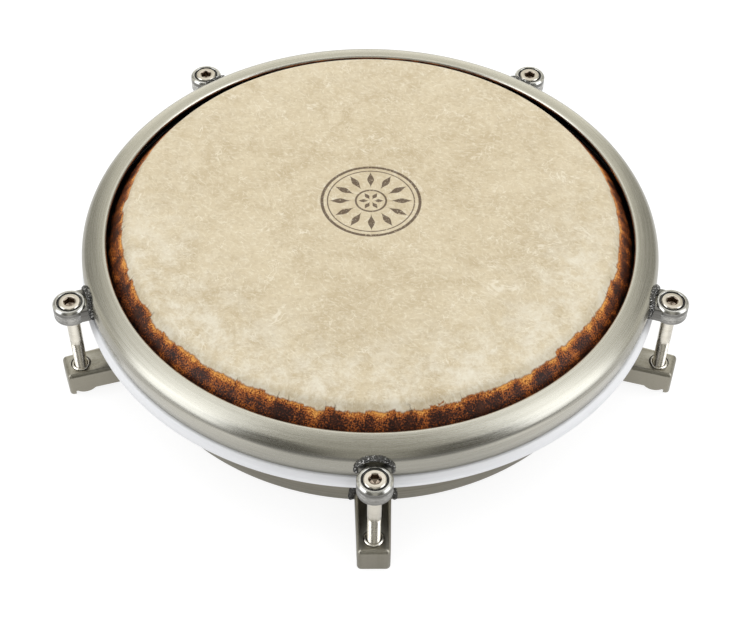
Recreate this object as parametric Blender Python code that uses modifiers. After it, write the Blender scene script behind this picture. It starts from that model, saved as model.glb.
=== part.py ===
"""Travel conga: a shallow steel shell with one tuned head.

A rounded rim presses the head's flesh hoop down. Five socket-head screws pull the rim towards
five arms that are welded to the shell. Lengths are metres, +Z is up, the drum's axis is the
Z axis, and the feet of the arms stand on Z = 0.
"""
import math

import bmesh
import bpy
import numpy as np
from mathutils import Matrix, Vector

# Layout
LUG_COUNT = 5
FIRST_LUG_ANGLE = math.radians(-90)
CLEARANCE = 0.0003
RIM_TRAVEL = 0.003

# Facets round the rings, the eyes and the smaller holes, and along the curves of a section
RING_STEPS = 60
EYE_STEPS = 20
SMALL_STEPS = 14
ROLL_STEPS = 6
BEND_STEPS = 3
EDGE_STEPS = 2
LIP_STEPS = 4
CROWN_STEPS = 2
SHARP_ANGLE = math.radians(32)

# Shell: a rolled bearing edge, a cone under the head, and a plain wall
HEAD_DIAMETER = 0.2996
SHELL_HEIGHT = 0.0833
SHELL_BASE = 0.0053
SHELL_FLARE = 0.0044
SHELL_WALL = 0.0022
BEARING_BEND = 0.0047
BEARING_CURL = math.radians(205)

# Head: a film that is flat on top, bends over the bearing edge and ends in the flesh hoop
FILM_THICKNESS = 0.0005
HEAD_CROWN = 0.0008
COLLAR_STANDOFF = 0.0158
COLLAR_TAIL = 0.0026

# Rim: one bent sheet with a sloping top, a tight bend and a nearly upright skirt
RIM_DROP = 0.0095
RIM_HEIGHT = 0.0223
RIM_THICKNESS = 0.003
RIM_GAP = 0.0117
RIM_WIDTH = 0.0155
RIM_TUCK = 0.0016
RIM_TOP_SLOPE = math.radians(9.3)
RIM_BEND = 0.0054

# Flesh hoop: a wide aluminium flange with a channel that holds the film's end
HOOP_OVERHANG = 0.0018
HOOP_FLANGE = 0.0066
HOOP_EDGE_BEND = 0.0016
CHANNEL_WIDTH = 0.0046
CHANNEL_WALL = 0.0013
CHANNEL_FLOOR = 0.0055
CHANNEL_RISE = 0.0057

# Screws with a hexagon socket, and the plastic cups under their heads
BOLT_DIAMETER = 0.008
BOLT_TIP = 0.0045
BOLT_PLAIN_LENGTH = 0.0275
THREAD_STEP = 0.00012
BOLT_END_CHAMFER = 0.001
BOLT_HEAD_LEDGE = 0.0025
BOLT_HEAD_HEIGHT = 0.0078
BOLT_HEAD_CHAMFER = 0.0005
SOCKET_WIDTH = 0.006
SOCKET_DEPTH = 0.004
CUP_WALL = 0.0006
CUP_FLOOR = 0.0007
CUP_RECESS = 0.0009

# Eyes on the rim, and the weld beads that hold them
EYE_DROP = 0.0079
EYE_WALL = 0.0025
EYE_FLOOR = 0.0015
EYE_CHAMFER = 0.0012
EYE_STANDOFF = 0.0008
NECK_INSET = 0.001
RIM_BEAD_WIDTH = 0.0024
RIM_BEAD_REACH = 0.0027
BEAD_ROUNDING = 0.0019

# Barrel nuts inside the arms, each with a threaded neck
NUT_WALL = 0.0012
NUT_LENGTH = 0.0126
NECK_WALL = 0.00095
NECK_DROP = 0.0012
NUT_CHAMFER = 0.0006

# Arms: channels open underneath, with a lobe round the nut and a foot at the outer end
ARM_LOBE_WALL = 0.0022
ARM_TOP_WALL = 0.0028
ARM_SIDE_WALL = 0.0029
ARM_END_WALL = 0.0036
ARM_END_GAP = 0.0011
ARM_SIDE_BASE = 0.0023
ARM_ROOT_FLARE = 0.0012
ARM_EDGE_BEND = 0.0026
ARM_HOLE_GAP = 0.00075
ARM_BEAD_WIDTH = 0.0026
ARM_BEAD_REACH = 0.0034

# Radii and heights of the rings that follow from the sizes above
HEAD_RADIUS = HEAD_DIAMETER / 2
SHELL_RADIUS = HEAD_RADIUS + SHELL_FLARE
COLLAR_END_RADIUS = SHELL_RADIUS + COLLAR_STANDOFF
RIM_MOUTH_RADIUS = HEAD_RADIUS + RIM_GAP
RIM_RADIUS = RIM_MOUTH_RADIUS + RIM_WIDTH
HOOP_RADIUS = RIM_RADIUS + HOOP_OVERHANG
BEARING_CENTRE = (HEAD_RADIUS - BEARING_BEND, SHELL_BASE + SHELL_HEIGHT - BEARING_BEND)
FILM_BEND = BEARING_BEND + CLEARANCE + FILM_THICKNESS
FILM_TOP = BEARING_CENTRE[1] + FILM_BEND
RIM_TOP = FILM_TOP - RIM_DROP
RIM_BASE = RIM_TOP - RIM_HEIGHT
HOOP_TOP = RIM_BASE - CLEARANCE
CHANNEL_BASE = HOOP_TOP - HOOP_FLANGE + CHANNEL_FLOOR
FILM_END = CHANNEL_BASE + RIM_TRAVEL + CLEARANCE

# Sizes of the lugs' pieces that follow from the sizes above
BOLT_RADIUS = BOLT_DIAMETER / 2
BOLT_HOLE_RADIUS = BOLT_RADIUS + CLEARANCE
BOLT_HEAD_RADIUS = BOLT_RADIUS + BOLT_HEAD_LEDGE
CUP_RADIUS = BOLT_HEAD_RADIUS + CLEARANCE + CUP_WALL
COUNTERBORE_RADIUS = CUP_RADIUS + CLEARANCE
EYE_RADIUS = COUNTERBORE_RADIUS + EYE_WALL
EYE_TOP = RIM_TOP - EYE_DROP
BOLT_SEAT = EYE_TOP + CLEARANCE - BOLT_HEAD_HEIGHT
CUP_SEAT = BOLT_SEAT - CLEARANCE - CUP_FLOOR
EYE_BASE = CUP_SEAT - CLEARANCE - EYE_FLOOR
BOLT_CIRCLE_RADIUS = RIM_RADIUS + EYE_STANDOFF + EYE_RADIUS
NUT_RADIUS = BOLT_HOLE_RADIUS + NUT_WALL
NECK_RADIUS = BOLT_HOLE_RADIUS + NECK_WALL
NUT_AXIS = NUT_RADIUS + ARM_LOBE_WALL
ARM_CEILING = NUT_AXIS + NUT_RADIUS + CLEARANCE
ARM_HEIGHT = ARM_CEILING + ARM_TOP_WALL
ARM_OVERHANG = NUT_RADIUS + ARM_END_GAP + ARM_END_WALL
POCKET_WIDTH = NUT_LENGTH + 2 * CLEARANCE
ARM_END_WIDTH = POCKET_WIDTH + 2 * ARM_SIDE_WALL
ARM_ROOT_WIDTH = ARM_END_WIDTH + 2 * ARM_ROOT_FLARE
ARM_ROOT = SHELL_RADIUS + CLEARANCE - BOLT_CIRCLE_RADIUS
COPE_DEPTH = 2 * SHELL_WALL
RIM_COPE = RIM_MOUTH_RADIUS + RIM_THICKNESS - BOLT_CIRCLE_RADIUS

# The reach of a cutter that goes right through, and the tolerance that picks edges by their place
LONG = 0.1
HAIR = 0.00001

# Colour, roughness and metallic value of each finish
FINISHES = {
    "satin_nickel": ((0.45, 0.43, 0.38, 1), 0.34, 1.0),
    "dark_nickel": ((0.28, 0.26, 0.22, 1), 0.38, 1.0),
    "bright_aluminium": ((0.80, 0.81, 0.83, 1), 0.35, 1.0),
    "zinc_screw": ((0.74, 0.70, 0.60, 1), 0.28, 1.0),
    "weld_steel": ((0.10, 0.10, 0.11, 1), 0.45, 1.0),
    "black_plastic": ((0.01, 0.01, 0.01, 1), 0.5, 0.0),
    "mottled_film": ((0.65, 0.54, 0.38, 1), 0.5, 0.0),
}


def start_scene():
    """Empty the scene and make one collection for the parts and one for the cutters."""
    for old in list(bpy.data.objects):
        bpy.data.objects.remove(old)
    for name in ("travel_conga", "cutters"):
        bpy.context.scene.collection.children.link(bpy.data.collections.new(name))


def finish(name):
    """Return the material of one finish, made the first time that it is asked for."""
    known = bpy.data.materials.get(name)
    if known:
        return known
    colour, roughness, metallic = FINISHES[name]
    material = bpy.data.materials.new(name)
    material.use_nodes = True
    shader = material.node_tree.nodes["Principled BSDF"]
    shader.inputs["Base Color"].default_value = colour
    shader.inputs["Roughness"].default_value = roughness
    shader.inputs["Metallic"].default_value = metallic
    return material


def add_object(name, mesh, finish_name=None):
    """Link a mesh as a part with a finish, or as a wire cutter when it has none."""
    thing = bpy.data.objects.new(name, mesh)
    if finish_name:
        bpy.data.collections["travel_conga"].objects.link(thing)
        mesh.materials.clear()
        mesh.materials.append(finish(finish_name))
    else:
        bpy.data.collections["cutters"].objects.link(thing)
        thing.hide_render = True
        thing.display_type = "WIRE"
    return thing


def mesh_from(bm, name):
    """Turn a bmesh into a mesh and free it."""
    bmesh.ops.recalc_face_normals(bm, faces=bm.faces)
    mesh = bpy.data.meshes.new(name)
    bm.to_mesh(mesh)
    bm.free()
    return mesh


def settle(thing):
    """Swap an object's modifiers for the mesh that they make, shaded smooth between sharp edges."""
    graph = bpy.context.evaluated_depsgraph_get()
    mesh = bpy.data.meshes.new_from_object(thing.evaluated_get(graph))
    mesh.name = thing.name
    mesh.shade_smooth()
    mesh.set_sharp_from_angle(angle=SHARP_ANGLE)
    thing.modifiers.clear()
    thing.data = mesh
    return thing


def combine(thing, other, operation="DIFFERENCE"):
    """Cut another solid away from this one, or join it on."""
    change = thing.modifiers.new(other.name, "BOOLEAN")
    change.operation = operation
    change.solver = "EXACT"
    change.object = other


def arc(centre, radius, start, end, steps):
    """Points along an arc in the plane of a profile, from one angle to another."""
    angles = np.linspace(start, end, steps + 1)
    return [(centre[0] + radius * math.cos(a), centre[1] + radius * math.sin(a)) for a in angles]


def offset_path(path, distance):
    """The path moved to its right-hand side, with its mitres kept at one thickness."""
    points = np.array(path)
    runs = np.diff(points, axis=0)
    runs /= np.linalg.norm(runs, axis=1, keepdims=True)
    rights = np.stack([runs[:, 1], -runs[:, 0]], axis=1)
    before = np.vstack([rights[:1], rights])
    after = np.vstack([rights, rights[-1:]])
    mitre = before + after
    mitre *= 2 / (mitre * mitre).sum(axis=1, keepdims=True)
    return [tuple(p) for p in points + distance * mitre]


def sheet_edge(here, there, steps):
    """The points between a sheet's two faces: none for a cut edge, a half circle for a round one."""
    here, there = np.array(here), np.array(there)
    middle, half = (here + there) / 2, (here - there) / 2
    bulge = np.array((half[1], -half[0]))
    turns = np.linspace(0, math.pi, steps + 1)[1:-1]
    return [tuple(middle + half * math.cos(t) + bulge * math.sin(t)) for t in turns]


def sheet_section(path, thickness, edge_steps=1):
    """A closed section of bent sheet; the path is its left-hand face."""
    back = offset_path(path, thickness)
    far_edge = sheet_edge(path[-1], back[-1], edge_steps)
    near_edge = sheet_edge(back[0], path[0], edge_steps)
    return path + far_edge + back[::-1] + near_edge


def turned(name, profile, steps, finish_name=None, closed=True):
    """Turn a profile round the Z axis. It runs down its outer side, from top to bottom."""
    count = len(profile)
    edges = [(i, i + 1) for i in range(count - 1)] + ([(count - 1, 0)] if closed else [])
    mesh = bpy.data.meshes.new(name)
    mesh.from_pydata([(x, 0, z) for x, z in profile], edges, [])
    thing = add_object(name, mesh, finish_name)
    screw = thing.modifiers.new("turn", "SCREW")
    screw.axis = "Z"
    screw.steps = steps
    screw.render_steps = steps
    screw.use_merge_vertices = True
    screw.merge_threshold = HAIR
    if not closed:
        weld = thing.modifiers.new("poles", "WELD")
        weld.merge_threshold = HAIR
    return thing


def cylinder(name, radius, low, high, steps, finish_name=None, top_radius=None):
    """An upright cylinder or cone between two heights."""
    bm = bmesh.new()
    place = Matrix.Translation((0, 0, (low + high) / 2))
    upper = radius if top_radius is None else top_radius
    bmesh.ops.create_cone(bm, cap_ends=True, segments=steps, radius1=radius, radius2=upper,
                          depth=high - low, matrix=place)
    return add_object(name, mesh_from(bm, name), finish_name)


def block(name, low, high, bend=0, finish_name=None):
    """A box between two corners, with all its edges rounded where a bend is given."""
    low, high = Vector(low), Vector(high)
    bm = bmesh.new()
    place = Matrix.Translation((low + high) / 2) @ Matrix.Diagonal((*(high - low), 1))
    bmesh.ops.create_cube(bm, size=1, matrix=place)
    if bend:
        bmesh.ops.bevel(bm, geom=bm.edges[:], offset=bend, segments=EDGE_STEPS, profile=0.5,
                        affect="EDGES")
    return add_object(name, mesh_from(bm, name), finish_name)


def prism(outline, low, high, direction):
    """A bmesh of a flat outline, swept from one distance to another along a direction."""
    bm = bmesh.new()
    bm.faces.new([bm.verts.new(Vector(p) + direction * low) for p in outline])
    swept = bmesh.ops.extrude_face_region(bm, geom=bm.faces[:])
    moved = [v for v in swept["geom"] if isinstance(v, bmesh.types.BMVert)]
    bmesh.ops.translate(bm, verts=moved, vec=direction * (high - low))
    bmesh.ops.recalc_face_normals(bm, faces=bm.faces)
    return bm


def collar_slope():
    """The collar's lean from upright: a tangent from the film's bend to the flesh hoop's channel."""
    run = COLLAR_END_RADIUS - BEARING_CENTRE[0]
    drop = BEARING_CENTRE[1] - FILM_END - COLLAR_TAIL
    return math.acos(FILM_BEND / math.hypot(run, drop)) - math.atan2(drop, run)


def shell_path():
    """The shell's outer face: over the rolled edge, down the cone and down the wall."""
    slope = collar_slope()
    roll = arc(BEARING_CENTRE, BEARING_BEND, BEARING_CURL, slope, ROLL_STEPS)
    cone_top_x, cone_top_z = roll[-1]
    cone_foot = cone_top_z - (SHELL_RADIUS - cone_top_x) / math.tan(slope)
    return roll + [(SHELL_RADIUS, cone_foot), (SHELL_RADIUS, SHELL_BASE)]


def rim_path(grow=0):
    """The rim's outer face: the sloping top, the tight bend and the long curve of the skirt."""
    lip = RIM_MOUTH_RADIUS + RIM_THICKNESS / 2
    normal = math.pi / 2 - RIM_TOP_SLOPE
    bend_x = RIM_RADIUS - RIM_BEND
    start = bend_x + RIM_BEND * math.cos(normal)
    bend_z = RIM_TOP - (start - lip) * math.tan(RIM_TOP_SLOPE) - RIM_BEND * math.sin(normal)
    drop = bend_z - RIM_BASE - RIM_THICKNESS / 2
    turn = 2 * math.atan(RIM_TUCK / drop)
    skirt_bend = drop / math.sin(turn) + RIM_THICKNESS / 2
    bend = arc((bend_x, bend_z), RIM_BEND + grow, normal, 0, BEND_STEPS)
    skirt = arc((RIM_RADIUS - skirt_bend, bend_z), skirt_bend + grow, 0, -turn, EDGE_STEPS)
    return [(lip, RIM_TOP + grow)] + bend + skirt[1:]


def hoop_section():
    """The flange under the rim's skirt, and the channel that stands up inside it."""
    base = HOOP_TOP - HOOP_FLANGE
    far = COLLAR_END_RADIUS + CLEARANCE
    near = far - CHANNEL_WIDTH
    rise = HOOP_TOP + CHANNEL_RISE
    edge_centre = (HOOP_RADIUS - HOOP_EDGE_BEND, HOOP_TOP - HOOP_EDGE_BEND)
    edge = arc(edge_centre, HOOP_EDGE_BEND, math.pi / 2, 0, EDGE_STEPS)
    channel = [(near - CHANNEL_WALL, base), (near - CHANNEL_WALL, rise), (near, rise),
               (near, CHANNEL_BASE), (far, CHANNEL_BASE), (far, rise),
               (far + CHANNEL_WALL, rise), (far + CHANNEL_WALL, HOOP_TOP)]
    return edge + [(HOOP_RADIUS, base)] + channel


def film_section():
    """The film's upper face from the axis outwards and down, and its lower face back again."""
    flat = BEARING_CENTRE[0]
    bend = arc(BEARING_CENTRE, FILM_BEND, math.pi / 2, collar_slope(), BEND_STEPS)
    shares = np.linspace(0, 1, CROWN_STEPS, endpoint=False)
    crown = [(share * flat, FILM_TOP + HEAD_CROWN * (1 - share * share)) for share in shares]
    tail = [(COLLAR_END_RADIUS, FILM_END + COLLAR_TAIL), (COLLAR_END_RADIUS, FILM_END)]
    upper = crown + bend + tail
    lower = offset_path(upper, FILM_THICKNESS)
    lower[0] = (0, upper[0][1] - FILM_THICKNESS)
    return upper + lower[::-1]


def make_rings():
    """The four pieces that are turned round the drum's axis."""
    turned("shell_ring", sheet_section(shell_path(), SHELL_WALL), RING_STEPS, "dark_nickel")
    turned("head_film", film_section(), RING_STEPS, "mottled_film", closed=False)
    turned("flesh_hoop", hoop_section(), RING_STEPS, "bright_aluminium")
    turned("rim", sheet_section(rim_path(), RIM_THICKNESS, LIP_STEPS), RING_STEPS, "satin_nickel")


def ring_cutter(name, profile):
    """A solid ring seen from one lug: the drum's axis lies one bolt circle radius behind it."""
    ring = settle(turned(name, profile, RING_STEPS))
    ring.data.transform(Matrix.Translation((-BOLT_CIRCLE_RADIUS, 0, 0)))
    return ring


def eye_outline(grow=0):
    """The eye from above: a round end, and straight flanks that run in to the rim."""
    radius = EYE_RADIUS + grow
    flank = radius - NECK_INSET
    turn = math.pi - math.asin(flank / radius)
    round_end_points = arc((0, 0), radius, -turn, turn, EYE_STEPS)
    return [(RIM_COPE, -flank, 0)] + [(x, y, 0) for x, y in round_end_points] + [(RIM_COPE, flank, 0)]


def make_eye(rim_room):
    """The eye: bored for the screw, counterbored for its head, and coped to the rim."""
    bm = prism(eye_outline(), EYE_BASE, EYE_TOP, Vector((0, 0, 1)))
    top = [e for e in bm.edges if all(v.co.z > EYE_TOP - HAIR for v in e.verts)]
    bmesh.ops.bevel(bm, geom=top, offset=EYE_CHAMFER, segments=1, affect="EDGES")
    eye = add_object("eye", mesh_from(bm, "eye"), "satin_nickel")
    bore = cylinder("eye_bore", BOLT_HOLE_RADIUS, 0, LONG, SMALL_STEPS)
    counterbore = cylinder("eye_counterbore", COUNTERBORE_RADIUS, CUP_SEAT - CLEARANCE, LONG, EYE_STEPS)
    for cutter in (bore, counterbore, rim_room):
        combine(eye, cutter)
    return settle(eye)


def make_rim_weld(rim_room):
    """The weld bead over the eye's neck and down both its flanks, against the rim."""
    side = EYE_RADIUS - NECK_INSET + RIM_BEAD_WIDTH
    reach = RIM_RADIUS + RIM_BEAD_REACH - BOLT_CIRCLE_RADIUS
    weld = block("rim_weld", (RIM_COPE, -side, EYE_BASE + CLEARANCE),
                 (reach, side, EYE_TOP + RIM_BEAD_WIDTH), BEAD_ROUNDING, "weld_steel")
    eye_room = prism(eye_outline(CLEARANCE), 0, EYE_TOP + CLEARANCE, Vector((0, 0, 1)))
    combine(weld, add_object("eye_room", mesh_from(eye_room, "eye_room")))
    combine(weld, rim_room)
    return settle(weld)


def make_cup():
    """The plastic cup that lines the counterbore and lies under the screw's head."""
    top = BOLT_SEAT + BOLT_HEAD_HEIGHT - CUP_RECESS
    inner = CUP_RADIUS - CUP_WALL
    floor = CUP_SEAT + CUP_FLOOR
    section = [(inner, top), (CUP_RADIUS, top), (CUP_RADIUS, CUP_SEAT), (BOLT_HOLE_RADIUS, CUP_SEAT),
               (BOLT_HOLE_RADIUS, floor), (inner, floor)]
    return settle(turned("cup", section, SMALL_STEPS, "black_plastic"))


def make_bolt():
    """The socket-head screw: head, plain shank, and the thread's length a touch thinner."""
    top = BOLT_SEAT + BOLT_HEAD_HEIGHT
    thread_top, thread = BOLT_SEAT - BOLT_PLAIN_LENGTH, BOLT_RADIUS - THREAD_STEP
    section = [(0, top), (BOLT_HEAD_RADIUS - BOLT_HEAD_CHAMFER, top),
               (BOLT_HEAD_RADIUS, top - BOLT_HEAD_CHAMFER), (BOLT_HEAD_RADIUS, BOLT_SEAT),
               (BOLT_RADIUS, BOLT_SEAT), (BOLT_RADIUS, thread_top), (thread, thread_top - THREAD_STEP),
               (thread, BOLT_TIP + BOLT_END_CHAMFER), (thread - BOLT_END_CHAMFER, BOLT_TIP), (0, BOLT_TIP)]
    bolt = turned("bolt", section, SMALL_STEPS, "zinc_screw", closed=False)
    corner = SOCKET_WIDTH / math.sqrt(3)
    combine(bolt, cylinder("socket", corner, top - SOCKET_DEPTH, LONG, 6))
    return settle(bolt)


def arm_outline(grow=0):
    """The arm from the side: root, top, outer end, foot, and the lobe round the nut."""
    lobe_radius = NUT_AXIS
    reach = math.acos((lobe_radius - ARM_SIDE_BASE) / lobe_radius)
    lobe = arc((0, NUT_AXIS), lobe_radius, -math.pi / 2 + reach, -math.pi / 2 - reach, ROLL_STEPS)
    root, foot = ARM_ROOT - COPE_DEPTH, ARM_OVERHANG - ARM_END_WALL
    top = ARM_HEIGHT + grow
    corners = [(root, ARM_SIDE_BASE), (root, top), (ARM_OVERHANG, top), (ARM_OVERHANG, 0), (foot, 0),
               (foot, ARM_SIDE_BASE)]
    return [(x, 0, z) for x, z in corners + lobe]


def arm_blank(grow=0):
    """The arm's outer shape: its side outline across its width, flared, with rounded edges."""
    half = ARM_END_WIDTH / 2 + grow
    bm = prism(arm_outline(grow), -half, half, Vector((0, 1, 0)))
    flare = (ARM_ROOT_WIDTH / ARM_END_WIDTH - 1) / (ARM_OVERHANG - ARM_ROOT)
    for vert in bm.verts:
        vert.co.y *= 1 + flare * (ARM_OVERHANG - vert.co.x)
    outer_top = ARM_OVERHANG + ARM_HEIGHT + grow - HAIR
    rounded = [e for e in bm.edges if any(v.co.x + v.co.z > outer_top for v in e.verts)]
    bmesh.ops.bevel(bm, geom=rounded, offset=ARM_EDGE_BEND, segments=BEND_STEPS, profile=0.5,
                    affect="EDGES")
    return bm


def make_arm(wall_room):
    """The arm: hollow underneath, pierced for the screw, and coped to the shell's wall."""
    arm = add_object("arm", mesh_from(arm_blank(), "arm"), "dark_nickel")
    half = POCKET_WIDTH / 2
    pocket = block("arm_pocket", (ARM_ROOT - LONG, -half, -LONG),
                   (ARM_OVERHANG - ARM_END_WALL, half, ARM_CEILING))
    hole = cylinder("arm_hole", NECK_RADIUS + ARM_HOLE_GAP, 0, LONG, EYE_STEPS)
    for cutter in (pocket, hole, wall_room):
        combine(arm, cutter)
    return settle(arm)


def make_arm_weld(wall_room):
    """The weld bead over the arm's root and down both its sides, against the shell."""
    side = ARM_ROOT_WIDTH / 2 + ARM_BEAD_WIDTH
    weld = block("arm_weld", (ARM_ROOT - COPE_DEPTH, -side, SHELL_BASE + CLEARANCE),
                 (ARM_ROOT + ARM_BEAD_REACH, side, ARM_HEIGHT + ARM_BEAD_WIDTH), BEAD_ROUNDING,
                 "weld_steel")
    combine(weld, add_object("arm_room", mesh_from(arm_blank(CLEARANCE), "arm_room")))
    combine(weld, wall_room)
    return settle(weld)


def make_nut():
    """The barrel nut: it lies across the arm, and its threaded neck stands up in the hole."""
    nut = cylinder("nut", NUT_RADIUS, -NUT_LENGTH / 2, NUT_LENGTH / 2, EYE_STEPS, "zinc_screw")
    lay = Matrix.Translation((0, 0, NUT_AXIS)) @ Matrix.Rotation(math.pi / 2, 4, "X")
    nut.data.transform(lay)
    top = ARM_HEIGHT - NECK_DROP
    neck = cylinder("nut_neck", NECK_RADIUS, NUT_AXIS, top, SMALL_STEPS)
    thread = cylinder("nut_thread", BOLT_HOLE_RADIUS, -LONG, LONG, SMALL_STEPS)
    mouth = cylinder("nut_mouth", BOLT_HOLE_RADIUS, top - NUT_CHAMFER, top + NUT_CHAMFER, SMALL_STEPS,
                     top_radius=BOLT_HOLE_RADIUS + 2 * NUT_CHAMFER)
    combine(nut, neck, "UNION")
    combine(nut, thread)
    combine(nut, mouth)
    return settle(nut)


def make_patterns():
    """Make one of each of a lug's pieces, at the angle where the screw's axis is the origin."""
    below = RIM_BASE - CLEARANCE
    path = rim_path(CLEARANCE)
    rim_profile = [(RIM_MOUTH_RADIUS, path[0][1])] + path + [(path[-1][0], below), (RIM_MOUTH_RADIUS, below)]
    rim_room = ring_cutter("rim_room", rim_profile)
    inside, outside = SHELL_RADIUS - COPE_DEPTH, SHELL_RADIUS + CLEARANCE
    wall_profile = [(inside, LONG), (outside, LONG), (outside, -LONG), (inside, -LONG)]
    wall_room = ring_cutter("wall_room", wall_profile)
    return [make_eye(rim_room), make_rim_weld(rim_room), make_cup(), make_bolt(),
            make_arm(wall_room), make_arm_weld(wall_room), make_nut()]


def make_lugs():
    """Stand a copy of every pattern at each lug, on an empty that lies on the screw's axis."""
    parts = bpy.data.collections["travel_conga"].objects
    patterns = make_patterns()
    for lug in range(LUG_COUNT):
        angle = FIRST_LUG_ANGLE + lug * math.tau / LUG_COUNT
        axis = bpy.data.objects.new(f"lug_axis_{lug + 1}", None)
        axis.location = (BOLT_CIRCLE_RADIUS * math.cos(angle), BOLT_CIRCLE_RADIUS * math.sin(angle), 0)
        axis.rotation_euler.z = angle
        parts.link(axis)
        for pattern in patterns:
            copy = bpy.data.objects.new(f"{pattern.name}_{lug + 1}", pattern.data)
            copy.parent = axis
            parts.link(copy)
    for pattern in patterns:
        bpy.data.objects.remove(pattern)


start_scene()
make_rings()
make_lugs()
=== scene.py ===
import math

import bmesh
import bpy
import numpy as np
from mathutils import Matrix, Vector


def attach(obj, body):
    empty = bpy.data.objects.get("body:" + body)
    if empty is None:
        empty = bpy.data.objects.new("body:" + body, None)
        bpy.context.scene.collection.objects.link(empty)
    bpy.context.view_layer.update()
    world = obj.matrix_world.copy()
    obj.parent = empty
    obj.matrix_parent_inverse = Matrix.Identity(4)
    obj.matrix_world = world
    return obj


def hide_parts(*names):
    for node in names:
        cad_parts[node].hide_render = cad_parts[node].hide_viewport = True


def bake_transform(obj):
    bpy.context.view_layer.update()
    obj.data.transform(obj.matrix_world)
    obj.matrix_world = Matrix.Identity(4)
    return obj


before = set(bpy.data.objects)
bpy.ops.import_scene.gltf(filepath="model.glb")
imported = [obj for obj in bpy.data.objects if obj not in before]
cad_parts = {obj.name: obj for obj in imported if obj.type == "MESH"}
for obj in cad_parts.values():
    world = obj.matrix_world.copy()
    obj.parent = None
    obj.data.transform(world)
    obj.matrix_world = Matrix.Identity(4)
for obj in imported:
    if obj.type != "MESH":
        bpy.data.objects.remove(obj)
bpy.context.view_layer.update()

# A shallow hand drum: a steel shell, a skin pulled down by a hoop and a rim, and five lugs.
# Lengths are metres. The drum's axis is Z, and the feet of the side arms stand on Z = 0.
# A lug's own pieces are worked out with the screw's axis as Z and +X away from the drum.

LUGS = 5
SCREW_CIRCLE = 0.188
RING_STEPS = 360
JOIN_GAP, CREASE_ANGLE = 2e-6, math.radians(40)
SHARP_BEND = 0.0015

# Sizes that the detailed pieces share with the CAD model
HEAD_TOP, HEAD_CROWN, SKIN = 0.0894, 0.0008, 0.0005
BEARING = (0.1451, 0.0839)
BEARING_BEND, SKIN_BEND = 0.0047, 0.0055
SHELL_RADIUS, SHELL_BASE, SHELL_WALL = 0.1542, 0.0053, 0.0022
COLLAR_END, SKIN_END, SKIN_TAIL = 0.1700, 0.0595, 0.0026
RIM_MOUTH, RIM_RADIUS, RIM_TOP, RIM_BASE, RIM_SHEET = 0.1615, 0.1770, 0.0799, 0.0576, 0.003
RIM_TUCK = 0.0016
HOOP_RADIUS, HOOP_TOP, HOOP_BASE = 0.1788, 0.0573, 0.0507
CHANNEL_WIDTH, CHANNEL_RISE, CHANNEL_FLOOR, CHANNEL_WALL = 0.0046, 0.0057, 0.0055, 0.0013
EYE_RADIUS, EYE_TOP, EYE_BASE = 0.0102, 0.0720, 0.0617
COUNTERBORE, BORE = 0.0077, 0.0043
CUP_RADIUS, CUP_WALL, CUP_SEAT, CUP_TOP = 0.0074, 0.0006, 0.0635, 0.0714
SCREW_TOP, SCREW_SEAT, SCREW_HEAD, SHANK = 0.0723, 0.0645, 0.0065, 0.004
THREAD_TOP, SCREW_TIP, THREAD_PITCH = 0.0370, 0.0045, 0.00125
ARM_TOP, ARM_CEILING, ARM_END = 0.0163, 0.0135, 0.0102
ARM_SIDE_BASE, ARM_EDGE, ARM_HOLE = 0.0023, 0.0026, 0.0060
ARM_HALF, ARM_ROOT_HALF = 0.0095, 0.0107
ARM_ROOT = SHELL_RADIUS - SCREW_CIRCLE
ARM_LENGTH = ARM_END - ARM_ROOT
NUT_RADIUS, NUT_HALF, NUT_AXIS = 0.0055, 0.0063, 0.0077

# Sizes of the finished surfaces alone, read from the highlights
RIM_BEND, RIM_FOOT, RIM_LIP_SLOPE, RIM_EDGE_SLOPE = 0.0076, 0.0004, math.radians(4), math.radians(20)
NUT_TOP, NUT_NECK = 0.0164, 0.0056


# Curves and meshes

def arc(centre, radius, start, end, steps):
    """Points on a circle's arc between two angles, ends included."""
    turn = np.linspace(start, end, steps + 1)
    return np.stack([centre[0] + radius * np.cos(turn), centre[1] + radius * np.sin(turn)], 1)


def straight(start, end, steps):
    """Points at even shares of the way from one point to another, ends left out."""
    share = np.linspace(0, 1, steps + 1)[1:-1, None]
    return np.array(start) * (1 - share) + np.array(end) * share


def moved_aside(path, distance):
    """The path moved to its right-hand side, along the mean of the normals that meet at each point."""
    run = np.diff(path, axis=0)
    run /= np.linalg.norm(run, axis=1, keepdims=True)
    right = np.stack([run[:, 1], -run[:, 0]], 1)
    mitre = np.vstack([right[:1], right]) + np.vstack([right, right[-1:]])
    mitre *= 2 / (mitre * mitre).sum(1, keepdims=True)
    return path + distance * mitre


def round_edge(here, there, steps=6):
    """A half circle from one face of a sheet to the other, ends left out."""
    middle, half = (here + there) / 2, (here - there) / 2
    bulge = np.array((half[1], -half[0]))
    turn = np.linspace(0, math.pi, steps + 1)[1:-1, None]
    return middle + half * np.cos(turn) + bulge * np.sin(turn)


def length_along(points):
    """The distance along a line of points from its first one."""
    steps = np.linalg.norm(np.diff(points, axis=0), axis=1)
    return np.concatenate([[0], np.cumsum(steps)])


def sharpness(points):
    """0 where a closed section is straight, up to 1 where it turns on 1.5 mm or less: turn over length."""
    before = points - np.roll(points, 1, 0)
    after = np.roll(points, -1, 0) - points
    turn = np.arctan2(before[:, 0] * after[:, 1] - before[:, 1] * after[:, 0], (before * after).sum(1))
    reach = (np.linalg.norm(before, axis=1) + np.linalg.norm(after, axis=1)) / 2
    return np.clip(np.abs(turn) / np.maximum(reach, 1e-6) * SHARP_BEND, 0, 1)


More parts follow.
